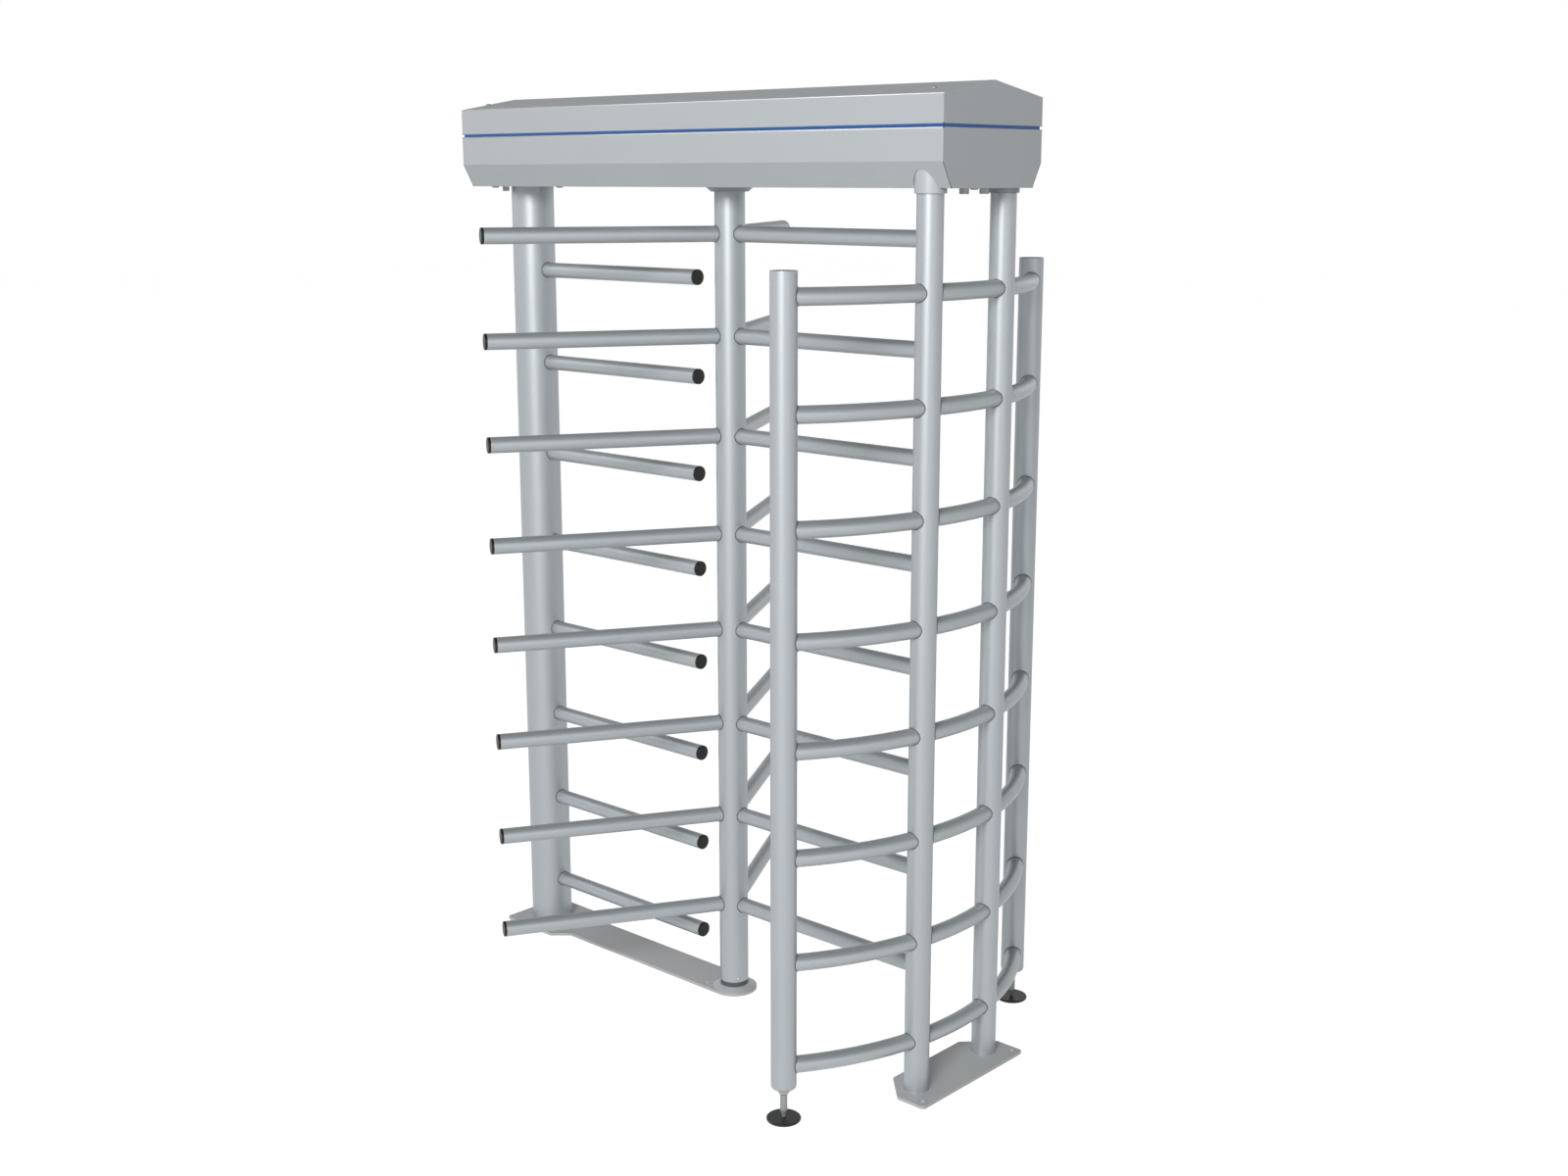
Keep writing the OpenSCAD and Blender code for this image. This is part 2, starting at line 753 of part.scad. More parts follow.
module at_bearing_screws() {
    for (a = [45 : 90 : 315]) rotate([0, 0, a])
        translate([bearing_flange_r - bearing_screw_inset, 0, mount_plate_t + bearing_flange_t])
            children();
}

// A turned cup that carries the top bearing over the end of the rotor tube
module bearing_housing() {
    cup_wall = 14;
    lip_in = 8;
    lip_t = 5;
    cup_r = bearing_r + cup_wall;
    room_r = bearing_r + bearing_room;
    seat_r = bearing_r + seat_gap;
    lip_r = bearing_r - lip_in;
    lip_z = bearing_z - lip_t;
    base = mount_plate_top;
    flange_top = base + bearing_flange_t;
    color(zinc) translate([0, 0, under_z]) difference() {
        rotate_extrude() polygon([
            [room_r, base], [bearing_flange_r, base], [bearing_flange_r, flange_top],
            [cup_r, flange_top], [cup_r, lock_plate_z], [seat_r, lock_plate_z], [seat_r, bearing_z],
            [lip_r, bearing_z], [lip_r, lip_z], [room_r, lip_z]
        ]);
        translate([0, 0, sheet]) at_bearing_screws() translate([0, 0, -20])
            cylinder(r = bearing_screw_r + fit_gap, h = 30);
    }
}

module bearing_screws() {
    head_r = 6.5;
    head_h = 7;
    shank = 14;
    color(dark) translate([0, 0, under_z + sheet]) at_bearing_screws() {
        cylinder(r = head_r, h = head_h);
        translate([0, 0, -shank]) cylinder(r = bearing_screw_r, h = shank + 0.01);
    }
}

ball_track_r = (shaft_r + bearing_r) / 2;
ball_r = 5.2;
ball_play = 0.1;
ring_gap_half = 3.5;

module bearing_groove() {
    translate([ball_track_r, bearing_h / 2]) circle(r = ball_r + ball_play);
}

module bearing_outer_ring() {
    in_r = ball_track_r + ring_gap_half;
    color(zinc) translate([0, 0, under_z + bearing_z]) rotate_extrude() difference() {
        translate([in_r, 0]) square([bearing_r - in_r, bearing_h]);
        bearing_groove();
    }
}

module bearing_inner_ring() {
    in_r = shaft_r + seat_gap;
    color(zinc) translate([0, 0, under_z + bearing_z]) rotate_extrude() difference() {
        translate([in_r, 0]) square([ball_track_r - ring_gap_half - in_r, bearing_h]);
        bearing_groove();
    }
}

module bearing_balls() {
    color(zinc) for (i = [0 : ball_count - 1]) rotate([0, 0, i * 360 / ball_count])
        translate([ball_track_r, 0, under_z + bearing_z + bearing_h / 2]) sphere(r = ball_r);
}

// The plate over the bearing that carries pawls, solenoids and damper
module lock_plate() {
    color(zinc) translate([0, 0, under_z + lock_plate_z]) difference() {
        translate([lock_plate_x0, -lock_plate_half, 0])
            cube([lock_plate_x1 - lock_plate_x0, 2 * lock_plate_half, lock_plate_t]);
        translate([0, 0, -1]) cylinder(r = hub_r + hub_room, h = lock_plate_t + 2);
        translate([gear_centre, 0, -1]) cylinder(r = damper_neck_r + fit_gap, h = lock_plate_t + 2);
        for (s = [-1, 1]) translate([-pawl_len, s * pawl_y, -1])
            cylinder(r = pawl_pin_r + seat_gap, h = lock_plate_t + 2);
    }
}

module plate_standoffs() {
    color(zinc) for (x = [lock_plate_x0 + standoff_inset, lock_plate_x1 - standoff_inset],
                     y = [-standoff_y, standoff_y])
        translate([x, y, under_z + mount_plate_top])
            cylinder(r = standoff_r, h = lock_plate_z - mount_plate_top);
}

module pawl_pins() {
    top = wheel_z + wheel_t + side_gap;
    head = 3;
    color(zinc) for (s = [-1, 1]) translate([-pawl_len, s * pawl_y, under_z]) {
        translate([0, 0, lock_plate_z]) cylinder(r = pawl_pin_r, h = top - lock_plate_z + 1);
        translate([0, 0, top]) cylinder(r = pawl_pin_r + head, h = head);
    }
}

module pawl() {
    translate([0, 0, under_z]) difference() {
        union() {
            translate([0, 0, wheel_z]) linear_extrude(wheel_t) {
                circle(r = pawl_boss_r);
                translate([0, -pawl_half]) square([tooth_x + tooth_w / 2, 2 * pawl_half]);
                translate([tooth_x - tooth_w / 2, -tooth_tip]) square([tooth_w, tooth_tip]);
                translate([-tail_half, 0]) square([2 * tail_half, tail_len]);
                translate([0, tail_len]) circle(r = tail_tip_r);
            }
            translate([0, 0, lock_plate_top + side_gap])
                cylinder(r = pawl_boss_r, h = wheel_z - lock_plate_top - side_gap + 1);
        }
        translate([0, 0, lock_plate_top]) cylinder(r = pawl_pin_r + run_gap, h = 30);
    }
}

module rear_pawl() { color(zinc) translate([-pawl_len, pawl_y, 0]) pawl(); }
module front_pawl() { color(zinc) mirror([0, 1, 0]) translate([-pawl_len, pawl_y, 0]) pawl(); }

// The plunger slides along X. Its fork takes the round end of the pawl's tail.
module plunger() {
    fork_z = -wheel_t - fork_below;
    fork_h = wheel_t + fork_below + fork_above;
    color(zinc) translate([-pawl_len, plunger_y, under_z + plunger_z]) {
        difference() {
            translate([-fork_half_l, -fork_in, fork_z])
                cube([2 * fork_half_l, fork_in + fork_out, fork_h]);
            translate([-fork_slot_half, -fork_in - 1, fork_z - 1])
                cube([2 * fork_slot_half, fork_in + fork_out - fork_wall + 1, fork_h + 2]);
        }
        translate([-fork_half_l + 1, 0, 0]) rotate([0, -90, 0])
            cylinder(r = plunger_r, h = coil_gap + plunger_hold - fork_half_l);
    }
}

module rear_plunger() { plunger(); }
module front_plunger() { mirror([0, 1, 0]) plunger(); }

// Each solenoid is a block on the lock plate with a bore for its plunger
module solenoids() {
    color(dark) for (s = [0, 1]) mirror([0, s, 0])
        translate([-pawl_len - coil_gap, plunger_y, under_z]) difference() {
            translate([-coil_l, -coil_w / 2, lock_plate_top])
                cube([coil_l, coil_w, 2 * (plunger_z - lock_plate_top)]);
            translate([1, 0, plunger_z]) rotate([0, -90, 0])
                cylinder(r = plunger_r + run_gap, h = plunger_hold + plunger_room + 1);
        }
}

module damper_body() {
    bottom = lock_plate_z - damper_h;
    color(dark) translate([gear_centre, 0, under_z]) difference() {
        union() {
            translate([0, 0, bottom]) cylinder(r = damper_r, h = damper_h);
            translate([0, 0, lock_plate_z - 1]) cylinder(r = damper_neck_r, h = lock_plate_t + 1);
        }
        translate([0, 0, bottom + damper_floor])
            cylinder(r = damper_shaft_r + run_gap, h = damper_h);
    }
}

// A gear outline: each flank follows an involute through three radii
function involute(a) = tan(a) * 180 / PI - a;
function flank_angle(r, rb, at_pitch) =
    at_pitch - involute(acos(min(1, rb / max(r, rb))));
function gear_outline(n, m, play, turn) =
    let (rp = n * m / 2, rb = rp * cos(20), rf = rp - 1.25 * m, ra = rp + m,
         half = 90 / n - play / rp * 90 / PI / 2 + involute(20),
         radii = [rf, max(rf + 0.2 * m, rb + 0.1 * m), rp, ra])
    [for (k = [0 : n - 1], i = [0 : 7])
        let (r = radii[i < 4 ? i : 7 - i], a = flank_angle(r, rb, half) * (i < 4 ? -1 : 1),
             t = turn + k * 360 / n + a)
        [r * cos(t), r * sin(t)]];

module drive_gear() {
    hub_h = gear_z - wheel_z - wheel_t;
    color(zinc) translate([0, 0, under_z + gear_z]) difference() {
        union() {
            linear_extrude(gear_t) polygon(gear_outline(gear_n, gear_m, gear_play, 0));
            translate([0, 0, -hub_h]) cylinder(r = hub_r, h = hub_h + 1);
        }
        translate([0, 0, -hub_h - 1]) cylinder(r = shaft_r + seat_gap, h = hub_h + gear_t + 2);
    }
}

module damper_pinion() {
    shaft_z = lock_plate_z - damper_h + damper_floor + side_gap;
    past_gear = 3;
    color(zinc) translate([gear_centre, 0, under_z]) {
        translate([0, 0, gear_z]) linear_extrude(gear_t)
            polygon(gear_outline(pinion_n, gear_m, gear_play, 180 + 180 / pinion_n));
        translate([0, 0, shaft_z]) cylinder(r = damper_shaft_r, h = gear_z + gear_t + past_gear - shaft_z);
    }
}

module index_wheel() {
    color(zinc) translate([0, 0, under_z]) difference() {
        union() {
            translate([0, 0, bearing_top]) cylinder(r = ball_track_r - ring_gap_half, h = 6);
            translate([0, 0, bearing_top + 3]) cylinder(r = hub_r, h = wheel_z - bearing_top - 2);
            translate([0, 0, wheel_z]) cylinder(r = wheel_r, h = wheel_t);
        }
        translate([0, 0, bearing_top - 1]) cylinder(r = shaft_r + seat_gap, h = 60);
        for (a = [0 : notch_step : 359]) rotate([0, 0, a])
            translate([wheel_r - notch_depth, -notch_w / 2, wheel_z - 1])
                cube([notch_depth + 1, notch_w, wheel_t + 2]);
    }
}

module shaft_nut() {
    washer_r = shaft_r + 12;
    corner_r = shaft_r + 10;
    color(zinc) translate([0, 0, under_z + nut_z]) difference() {
        union() {
            cylinder(r = washer_r, h = 2);
            cylinder(r = corner_r, h = nut_h, $fn = 6);
        }
        translate([0, 0, -1]) cylinder(r = shaft_r + seat_gap, h = nut_h + 2);
    }
}

module rotor_tube() {
    color(satin) difference() {
        translate([0, 0, rotor_bottom])
            tube(rotor_r, rotor_wall, under_z + rotor_top - rotor_bottom);
        at_grub_screws() cylinder(r = grub_r + fit_gap, h = rotor_r);
    }
}

// Looks outward from the rotor's axis along each grub screw, whose thread is grub_reach long
// inside the rotor tube
module at_grub_screws() {
    for (a = [0, 120, 240]) rotate([0, 0, grub_angle + a]) translate([0, 0, grub_z])
        rotate([0, 90, 0]) translate([0, 0, rotor_bore_r - grub_reach]) children();
}

module wing(angle) {
    for (z = arm_levels) rotate([0, 0, angle]) translate([0, 0, wing_level + z])
        coped_arm(rotor_r, wing_reach);
}

module wing_caps(angle) {
    for (z = arm_levels) rotate([0, 0, angle]) translate([0, 0, wing_level + z])
        arm_cap(wing_reach);
}

module wing_a_arms() { color(satin) wing(0); }
module wing_a_caps() { color(dark) wing_caps(0); }
module wing_b_arms() { color(satin) wing(120); }
module wing_b_caps() { color(dark) wing_caps(120); }
module wing_c_arms() { color(satin) wing(240); }
module wing_c_caps() { color(dark) wing_caps(240); }

// The stepped shaft is welded into the rotor tube's upper end
module rotor_shaft() {
    plug_h = 60;
    color(zinc) translate([0, 0, under_z]) {
        translate([0, 0, rotor_top - plug_h])
            cylinder(r = rotor_bore_r - weld_gap, h = plug_h + 1);
        translate([0, 0, rotor_top]) cylinder(r = rotor_r, h = collar_t);
        translate([0, 0, shaft_shoulder_z - 1])
            cylinder(r = shaft_r + 4, h = bearing_z - shaft_shoulder_z + 1);
        translate([0, 0, shaft_shoulder_z]) cylinder(r = shaft_r, h = shaft_top - shaft_shoulder_z);
    }
}

module rotor_foot_plug() {
    bore = bush_r + seat_gap;
    room_top = pin_top + run_gap + bush_cap + seat_gap;
    color(zinc) difference() {
        translate([0, 0, rotor_bottom])
            cylinder(r = rotor_bore_r - weld_gap, h = foot_plug_top - rotor_bottom);
        translate([0, 0, rotor_bottom - 1]) cylinder(r = bore, h = room_top - rotor_bottom + 1);
        at_grub_screws() cylinder(r = grub_r + fit_gap, h = rotor_r);
    }
}

// The bush turns on the pivot pin and carries the rotor's weight on the pin's top
module pivot_bush() {
    inner = pin_r + run_gap;
    closed = pin_top + run_gap;
    color(bronze) rotate_extrude() polygon([
        [0, closed], [inner, closed], [inner, rotor_bottom], [bush_r, rotor_bottom],
        [bush_r, closed + bush_cap], [0, closed + bush_cap]
    ]);
}

module seal_ring() {
    low = pivot_top + side_gap;
    color(seal_grey) translate([0, 0, low])
        ring(rotor_r - 1.5, pin_r + 1, rotor_bottom - low);
}

module grub_screws() {
    color(dark) at_grub_screws()
        cylinder(r = grub_r, h = rotor_r - grub_sunk - (rotor_bore_r - grub_reach));
}

// The flange is bolted to the floor plate and carries the pin that the rotor turns on
module floor_pivot() {
    edge = 1;
    color(satin) translate([0, 0, plate_t]) rotate_extrude() polygon([
        [0, 0], [pivot_flange_r, 0], [pivot_flange_r, edge], [pivot_flange_top_r, pivot_flange_h],
        [pin_r, pivot_flange_h], [pin_r, pin_top - plate_t - edge],
        [pin_r - edge, pin_top - plate_t], [0, pin_top - plate_t]
    ]);
}

// A hollow case for the electronics
module control_box() {
    wall = [control_wall, control_wall, control_wall];
    color(dark) translate([lock_plate_x1 + box_gap, -control_size[1] / 2, under_z + mount_plate_top])
        difference() {
            cube(control_size);
            translate(wall) cube(control_size - 2 * wall);
        }
}

module power_supply() {
    x = lock_plate_x1 + box_gap + control_size[0] + supply_gap;
    color(zinc) translate([x, -supply_size[1] / 2, under_z + mount_plate_top]) cube(supply_size);
}

// The rod ends in a taper that stands in a shallow seat in the pad
pad_seat = 2;
foot_tip_r = 3;
rod_bottom = pad_h - pad_seat;
taper_at_pad_r = foot_tip_r + (foot_rod_r - foot_tip_r) * pad_seat / foot_taper;

module foot_rod(angle) {
    edge = 1;
    color(zinc) at_post(angle) translate([0, 0, rod_bottom]) rotate_extrude() polygon([
        [0, 0], [foot_tip_r, 0], [foot_rod_r, foot_taper], [foot_rod_r, foot_rod_len - edge],
        [foot_rod_r - edge, foot_rod_len], [0, foot_rod_len]
    ]);
}

module foot_pad(angle) {
    edge = 1.5;
    seat_r = taper_at_pad_r + fit_gap;
    color(dark) at_post(angle) rotate_extrude() polygon([
        [0, 0], [pad_d / 2 - edge, 0], [pad_d / 2, edge], [pad_d / 2, pad_h - edge],
        [pad_d / 2 - edge, pad_h], [seat_r, pad_h], [seat_r, rod_bottom], [0, rod_bottom]
    ]);
}

module front_foot_rod() { foot_rod(-short_post_angle); }
module front_foot_pad() { foot_pad(-short_post_angle); }
module rear_foot_rod() { foot_rod(short_post_angle); }
module rear_foot_pad() { foot_pad(short_post_angle); }

column();
column_foot_plate();
comb_arms();
comb_arm_caps();
front_tall_post();
rear_tall_post();
front_short_post();
rear_short_post();
short_post_caps();
foot_bushes();
cage_foot_plate();
front_rungs();
middle_rungs();
rear_rungs();
post_sleeves();
housing_tray();
housing_cover();
light_strip();
cover_screws();
cable_glands();
blind_plugs();
rotor_collar();
mounting_plate();
bearing_housing();
bearing_outer_ring();
bearing_balls();
bearing_screws();
lock_plate();
plate_standoffs();
pawl_pins();
solenoids();
damper_body();
control_box();
power_supply();
floor_pivot();
rotor_tube();
wing_a_arms();
wing_a_caps();
wing_b_arms();
wing_b_caps();
wing_c_arms();
wing_c_caps();
rotor_shaft();
bearing_inner_ring();
index_wheel();
drive_gear();
shaft_nut();
rotor_foot_plug();
pivot_bush();
seal_ring();
grub_screws();
front_pawl();
rear_pawl();
front_plunger();
rear_plunger();
damper_pinion();
front_foot_rod();
front_foot_pad();
rear_foot_rod();
rear_foot_pad();
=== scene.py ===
"""A full-height revolving gate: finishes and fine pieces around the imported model. Metres."""

import json
import math

import bmesh
import bpy
from mathutils import Matrix, Vector


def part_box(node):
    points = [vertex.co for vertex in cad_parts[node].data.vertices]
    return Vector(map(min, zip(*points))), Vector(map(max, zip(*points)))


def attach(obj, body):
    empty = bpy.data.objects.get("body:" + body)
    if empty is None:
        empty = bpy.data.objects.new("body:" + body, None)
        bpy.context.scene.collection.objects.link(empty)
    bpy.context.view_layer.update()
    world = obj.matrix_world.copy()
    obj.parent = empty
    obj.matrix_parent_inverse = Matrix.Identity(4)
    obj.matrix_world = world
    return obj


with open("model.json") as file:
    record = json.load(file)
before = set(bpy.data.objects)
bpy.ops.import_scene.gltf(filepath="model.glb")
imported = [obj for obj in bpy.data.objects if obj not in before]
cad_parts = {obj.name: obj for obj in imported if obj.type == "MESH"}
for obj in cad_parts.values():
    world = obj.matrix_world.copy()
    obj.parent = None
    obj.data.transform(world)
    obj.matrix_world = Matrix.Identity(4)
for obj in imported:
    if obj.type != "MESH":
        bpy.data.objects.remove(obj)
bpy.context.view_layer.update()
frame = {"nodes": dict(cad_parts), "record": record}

scene = bpy.context.scene
TAU = 2 * math.pi

# The photograph's view: where the camera stands and how it looks
CAMERA_PLACE = (3.3078, -3.4390, 2.1416)
CAMERA_TURN = math.radians(42.2709)
CAMERA_TILT = math.radians(12.2455)
CAMERA_LENS = 43.365

# Sizes that the fine pieces share with the model
ROTOR_R = 0.03805
ARM_R = 0.020
POST_R = 0.03015
COLUMN_R = 0.05715
COLUMN_X = -0.7462
CAGE_R = 0.7453
TALL_ANGLE = math.radians(10.42)
SHORT_ANGLE = math.radians(37.39)
ARM_ROWS = 8
ARM_PITCH = 0.2515
COMB_LEVEL = 0.1355
WING_LEVEL = 0.246
UNDER_Z = 2.120
HOUSING_X = (-0.8138, 0.80061)
HALF_W = 0.1807
SLOPE_H = 0.0565
SLOPE_W = 0.0318
TRAY_TOP = UNDER_Z + 0.1277
EAVE_Z = UNDER_Z + 0.1982
ROOF_RISE = 0.0318
ROOF_ANGLE = math.atan(ROOF_RISE / HALF_W)
FOLD_R = 0.003
SCREW_X = (-0.7948, 0.71461)
SCREW_Y = 0.105
SCREW_HEAD_H = 0.004
GRUB_ANGLES = (-30, 90, 210)
GRUB_Z = 0.040
GRUB_FACE_R = 0.03745

WELD_R = 0.0011


# Node helpers for the materials

def new_material(name):
    material = bpy.data.materials.new(name)
    material.use_nodes = True
    return material, material.node_tree


def node(tree, kind, **values):
    made = tree.nodes.new(kind)
    for key, value in values.items():
        if key in made.inputs:
            made.inputs[key].default_value = value
        else:
            setattr(made, key, value)
    return made


def noise(tree, coords, scale, detail=3.0, roughness=0.55):
    made = node(tree, "ShaderNodeTexNoise")
    made.inputs["Scale"].default_value = scale
    made.inputs["Detail"].default_value = detail
    made.inputs["Roughness"].default_value = roughness
    tree.links.new(coords, made.inputs["Vector"])
    return made.outputs["Fac"]


def ramp(tree, value, stops):
    made = tree.nodes.new("ShaderNodeValToRGB")
    element = made.color_ramp.elements
    while len(element) < len(stops):
        element.new(0.5)
    for spot, (position, colour) in zip(element, stops):
        spot.position = position
        spot.color = (*colour, 1.0)
    tree.links.new(value, made.inputs["Fac"])
    return made.outputs["Color"]


def map_range(tree, value, low, high):
    made = tree.nodes.new("ShaderNodeMapRange")
    made.inputs["To Min"].default_value = low
    made.inputs["To Max"].default_value = high
    tree.links.new(value, made.inputs["Value"])
    return made.outputs["Result"]


def mix_colour(tree, share, a, b, mode="MIX"):
    made = tree.nodes.new("ShaderNodeMix")
    made.data_type = "RGBA"
    made.blend_type = mode
    for socket, value in (("Factor", share), ("A", a), ("B", b)):
        target = [s for s in made.inputs if s.name == socket and s.enabled][0]
        if hasattr(value, "links"):
            tree.links.new(value, target)
        elif socket == "Factor":
            target.default_value = value
        else:
            target.default_value = (*value, 1.0)
    return [s for s in made.outputs if s.enabled][0]


def bump(tree, height, strength, distance):
    made = tree.nodes.new("ShaderNodeBump")
    made.inputs["Strength"].default_value = strength
    made.inputs["Distance"].default_value = distance
    tree.links.new(height, made.inputs["Height"])
    return made.outputs["Normal"]


def scaled_coords(tree, scale):
    place = tree.nodes.new("ShaderNodeTexCoord")
    mapping = tree.nodes.new("ShaderNodeMapping")
    mapping.inputs["Scale"].default_value = scale
    tree.links.new(place.outputs["Object"], mapping.inputs["Vector"])
    return mapping.outputs["Vector"]


def speckled(name, light, dark, metallic, rough_low, rough_high, grain=900.0, depth=0.12):
    """A blasted or metallic-painted surface: a fine speckle, soft clouds and a faint grain."""
    material, tree = new_material(name)
    shader = tree.nodes["Principled BSDF"]
    even = scaled_coords(tree, (1, 1, 1))
    fine = noise(tree, even, grain, 2.0, 0.7)
    mottle = noise(tree, even, 260.0, 2.0, 0.6)
    cloud = noise(tree, even, 9.0, 4.0, 0.6)
    speck = ramp(tree, fine, [(0.32, dark), (0.50, [(l + d) / 2 for l, d in zip(light, dark)]),
                              (0.68, light)])
    mottled = mix_colour(tree, map_range(tree, mottle, 0.0, 0.9), speck, dark)
    clouded = mix_colour(tree, map_range(tree, cloud, 0.0, 0.35), mottled, dark)
    tree.links.new(clouded, shader.inputs["Base Color"])
    tree.links.new(map_range(tree, cloud, rough_low, rough_high), shader.inputs["Roughness"])
    tree.links.new(bump(tree, fine, depth, 0.0004), shader.inputs["Normal"])
    shader.inputs["Metallic"].default_value = metallic
    return material


def moulded(name, colour, roughness, grain=700.0, depth=0.15, specular=0.5):
    """Moulded plastic or rubber: a fine grain and slightly uneven gloss."""
    material, tree = new_material(name)
    shader = tree.nodes["Principled BSDF"]
    even = scaled_coords(tree, (1, 1, 1))
    fine = noise(tree, even, grain, 2.0, 0.6)
    cloud = noise(tree, even, 25.0, 3.0, 0.6)
    lighter = [min(1.0, c * 1.35 + 0.004) for c in colour]
    tint = mix_colour(tree, map_range(tree, cloud, 0.0, 0.8), colour, lighter)
    tree.links.new(tint, shader.inputs["Base Color"])
    tree.links.new(map_range(tree, fine, roughness - 0.06, roughness + 0.08),
                   shader.inputs["Roughness"])
    tree.links.new(bump(tree, fine, depth, 0.0003), shader.inputs["Normal"])
    shader.inputs["Specular IOR Level"].default_value = specular
    return material


def turned(name, colour, roughness, metallic=1.0):
    """Machined or plated metal with faint turning marks."""
    material, tree = new_material(name)
    shader = tree.nodes["Principled BSDF"]
    marks = noise(tree, scaled_coords(tree, (40, 40, 900)), 3.0, 2.0, 0.5)
    cloud = noise(tree, scaled_coords(tree, (1, 1, 1)), 30.0, 3.0, 0.6)
    darker = [c * 0.82 for c in colour]
    tint = mix_colour(tree, map_range(tree, cloud, 0.0, 0.8), colour, darker)
    tree.links.new(tint, shader.inputs["Base Color"])
    tree.links.new(map_range(tree, marks, roughness - 0.05, roughness + 0.1),
                   shader.inputs["Roughness"])
    tree.links.new(bump(tree, marks, 0.08, 0.0002), shader.inputs["Normal"])
    shader.inputs["Metallic"].default_value = metallic
    return material


def blue_light(name):
    """The strip between tray and cover: blue plastic that glows faintly."""
    material = moulded(name, (0.012, 0.075, 0.270), 0.35, 500.0, 0.05, 0.28)
    shader = material.node_tree.nodes["Principled BSDF"]
    shader.inputs["Emission Color"].default_value = (0.04, 0.16, 0.45, 1.0)
    shader.inputs["Emission Strength"].default_value = 0.12
    return material


SATIN = speckled("satin_steel", (0.530, 0.568, 0.592), (0.430, 0.463, 0.482), 0.55, 0.41, 0.49)
PLATE = speckled("plate_steel", (0.650, 0.665, 0.675), (0.555, 0.570, 0.575), 0.15, 0.44, 0.54)
HOUSING = speckled("housing_steel", (0.600, 0.640, 0.665), (0.520, 0.555, 0.575), 0.12, 0.44, 0.52)
HOUSING.node_tree.nodes["Principled BSDF"].inputs["Specular IOR Level"].default_value = 0.25
PIVOT = speckled("pivot_steel", (0.690, 0.705, 0.715), (0.590, 0.605, 0.615), 0.20, 0.38, 0.46)
WELD = speckled("weld_steel", (0.19, 0.195, 0.20), (0.08, 0.083, 0.087), 0.5, 0.45, 0.60,
                grain=600.0, depth=0.4)
# Near-white, far lighter than the housing steel of the folds: painted highlight along the folds,
# on beads whose rounding also catches the lamps.
FOLD_HIGHLIGHT = speckled("folded_edge_painted_highlight", (0.93, 0.95, 0.96), (0.86, 0.88, 0.89), 0.10, 0.28, 0.34)
# Near-black: the real colour of the fine joints, and painted shade where it stands for relief
# holes, the gap under the sleeves and the screw sockets.
SEAM_AND_SHADE = moulded("dark_seam_and_painted_shade", (0.040, 0.042, 0.045), 0.60)
# Near-white polished metal: the grub screws' faces are made this bright for a painted glint on top
# of their real shine.
GLINT_STEEL = turned("bright_steel_painted_glint", (0.86, 0.87, 0.88), 0.18)
ZINC = turned("zinc_steel", (0.40, 0.42, 0.42), 0.42, 0.35)
GLAND = moulded("gland_grey", (0.90, 0.88, 0.80), 0.55)
BRONZE = turned("bronze", (0.62, 0.42, 0.20), 0.34)
CAP = moulded("black_plastic", (0.007, 0.0075, 0.008), 0.42, specular=0.3)
RUBBER = moulded("black_rubber", (0.012, 0.0125, 0.013), 0.32)
SEAL = moulded("seal_grey", (0.085, 0.092, 0.100), 0.50)
CASE = moulded("dark_case", (0.050, 0.052, 0.056), 0.50)
STRIP = blue_light("strip_blue")

FINISH = {
    "satin_steel": SATIN, "plate_steel": PLATE, "housing_steel": HOUSING, "zinc_steel": ZINC,
    "black_plastic": CAP, "black_rubber": RUBBER, "strip_blue": STRIP, "bronze": BRONZE,
    "dark_case": CASE, "gland_grey": GLAND, "seal_grey": SEAL,
}


def dress(obj, material):
    obj.data.materials.clear()
    obj.data.materials.append(material)


def dress_nodes():
    """Every node gets the finish of its slot in the record, and the pivot's cone a matter one."""
    for part in frame["record"]["subparts"]:
        obj = frame["nodes"].get(part["node"])
        if obj is not None:
            dress(obj, FINISH[part["material_slot"]])
    dress(frame["nodes"]["floor_pivot"], PIVOT)


def new_piece(name, mesh_maker, material, body):
    mesh = bpy.data.meshes.new(name)
    bm = bmesh.new()
    mesh_maker(bm)
    bmesh.ops.recalc_face_normals(bm, faces=bm.faces)
    bm.to_mesh(mesh)
    bm.free()
    for face in mesh.polygons:
        face.use_smooth = True
    obj = bpy.data.objects.new(name, mesh)
    scene.collection.objects.link(obj)
    dress(obj, material)
    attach(obj, body)
    return obj


def loop_tube(bm, path, radius, sides=8, closed=True):
    """A thin bead swept along a path of points."""
    rings = []
    count = len(path)
    for i, point in enumerate(path):
        before = path[i - 1] if closed or i else path[i]
        after = path[(i + 1) % count] if closed or i < count - 1 else path[i]
        along = (after - before).normalized()
        side = along.orthogonal().normalized()
        if rings:
            side = (last_side - along * last_side.dot(along)).normalized()
        last_side = side
        up = along.cross(side)
        rings.append([bm.verts.new(point + radius * (side * math.cos(a) + up * math.sin(a)))
                      for a in (TAU * k / sides for k in range(sides))])
    pairs = list(zip(rings, rings[1:])) + ([(rings[-1], rings[0])] if closed else [])
    for low, high in pairs:
        for k in range(sides):
            bm.faces.new((low[k], low[(k + 1) % sides], high[(k + 1) % sides], high[k]))
    if not closed:
        bm.faces.new(rings[0][::-1])
        bm.faces.new(rings[-1])


def joint_path(upright_r, arm_r, steps=40):
    """Where a level arm along +X meets an upright tube at the origin."""
    points = []
    for k in range(steps):
        a = TAU * k / steps
        y = arm_r * math.cos(a)
        points.append(Vector((math.sqrt(upright_r ** 2 - y ** 2), y, arm_r * math.sin(a))))
    return points


